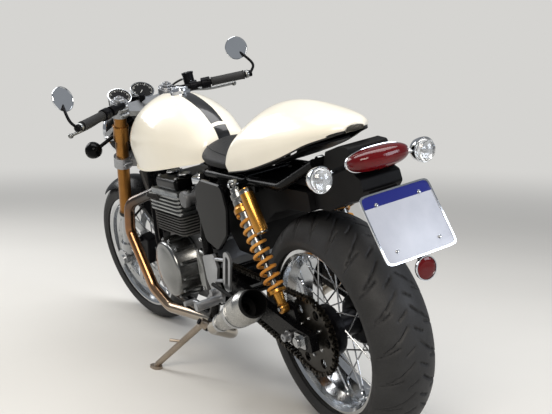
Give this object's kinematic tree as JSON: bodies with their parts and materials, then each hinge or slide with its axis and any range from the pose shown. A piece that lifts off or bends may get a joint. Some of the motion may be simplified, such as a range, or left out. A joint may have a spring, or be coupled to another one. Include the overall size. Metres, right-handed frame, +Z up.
{
  "type": "cafe racer motorcycle",
  "caption": "Road motorcycle with a white tank and seat hump, wire wheels, low clip-on bars and a side stand; steering, wheels, stand and fuel cap move.",
  "frame": {"origin": "middle of the parked machine's footprint, on the floor that both tyres and the stand touch", "axes": "+X forward along the machine, +Y to the rider's left, +Z up from the floor"},
  "size_m": [2.109, 0.7855, 1.1348],
  "materials": {
    "black_frame": "gloss",
    "swingarm_silver": "satin",
    "steel": "satin",
    "gold": "satin",
    "copper_spring": "gloss",
    "engine_grey": "satin",
    "black_fin": "satin",
    "cover_silver": "polished",
    "black_plastic": "matte",
    "header_chrome": "polished",
    "silencer_steel": "brushed",
    "white_paint": "gloss",
    "chrome": "polished",
    "black_leather": "matte",
    "plate_white": "gloss",
    "red_lens": "gloss",
    "black_satin": "satin",
    "aluminium": "satin",
    "rubber": "matte",
    "hose_black": "satin",
    "tyre": "matte",
    "rim_alloy": "polished",
    "hub_alloy": "satin",
    "disc_steel": "brushed"
  },
  "bodies": {
    "chassis": {"frame": "black_frame", "seat_subframe": "black_frame", "swingarm": "swingarm_silver", "stand_spools": "swingarm_silver", "rear_axle": "steel", "shock_bodies": "gold", "shock_springs": "copper_spring", "crankcase": "engine_grey", "cylinder_block": "black_fin", "cylinder_head": "black_fin", "engine_covers": "cover_silver", "throttle_bodies": "cover_silver", "radiator": "black_plastic", "exhaust_headers": "header_chrome", "silencers": "silencer_steel", "fuel_tank": "white_paint", "filler_neck": "chrome", "seat": "black_leather", "seat_base": "black_plastic", "seat_cowl": "white_paint", "electrics_box": "black_plastic", "rear_mudguard": "black_plastic", "plate_holder": "black_plastic", "number_plate": "plate_white", "rear_reflector": "red_lens", "tail_light": "red_lens", "rear_indicators": "chrome", "side_panels": "black_satin", "rearsets": "cover_silver", "drive_chain": "steel", "rear_caliper": "gold"},
    "steering": {"top_yoke": "aluminium", "bottom_yoke": "black_frame", "fork_tubes": "gold", "fork_sliders": "chrome", "front_axle": "steel", "front_calipers": "black_satin", "clip_on_bars": "black_satin", "grips": "rubber", "bar_controls": "black_satin", "mirrors": "chrome", "headlight": "chrome", "front_indicators": "chrome", "instruments": "chrome", "front_mudguard": "black_satin", "brake_hose": "hose_black"},
    "front_wheel": {"front_tyre": "tyre", "front_rim": "rim_alloy", "front_hub": "hub_alloy", "front_discs": "disc_steel"},
    "rear_wheel": {"rear_tyre": "tyre", "rear_rim": "rim_alloy", "rear_hub": "hub_alloy", "rear_disc": "disc_steel", "rear_sprocket": "steel"},
    "side_stand": {"side_stand": "aluminium"},
    "fuel_cap": {"filler_cap": "chrome"}
  },
  "joints": [
    {"name": "steering", "type": "hinge", "parent": "chassis", "child": "steering", "pos_m": [0.51416, -0.03095, 0.78382], "axis": [-0.3858, 0.1833, 0.9042], "range_deg": [-37.2, 18.8]},
    {"name": "front_wheel_spin", "type": "hinge", "parent": "steering", "child": "front_wheel", "pos_m": [0.75713, -0.12548, 0.29219], "axis": [-0.1479, 0.9551, -0.2567], "continuous": true},
    {"name": "rear_wheel_spin", "type": "hinge", "parent": "chassis", "child": "rear_wheel", "pos_m": [-0.65746, -0.1268, 0.3137], "axis": [-0.0004, 0.98, -0.1989], "continuous": true},
    {"name": "side_stand_fold", "type": "hinge", "parent": "chassis", "child": "side_stand", "pos_m": [-0.0517, 0.01719, 0.1874], "axis": [0.116, 0.8345, 0.5386], "range_deg": [0, 118]},
    {"name": "fuel_cap_lid", "type": "hinge", "parent": "chassis", "child": "fuel_cap", "pos_m": [0.19875, 0.00086, 0.94124], "axis": [-0.0004, 0.98, -0.1989], "range_deg": [0, 75]}
  ]
}
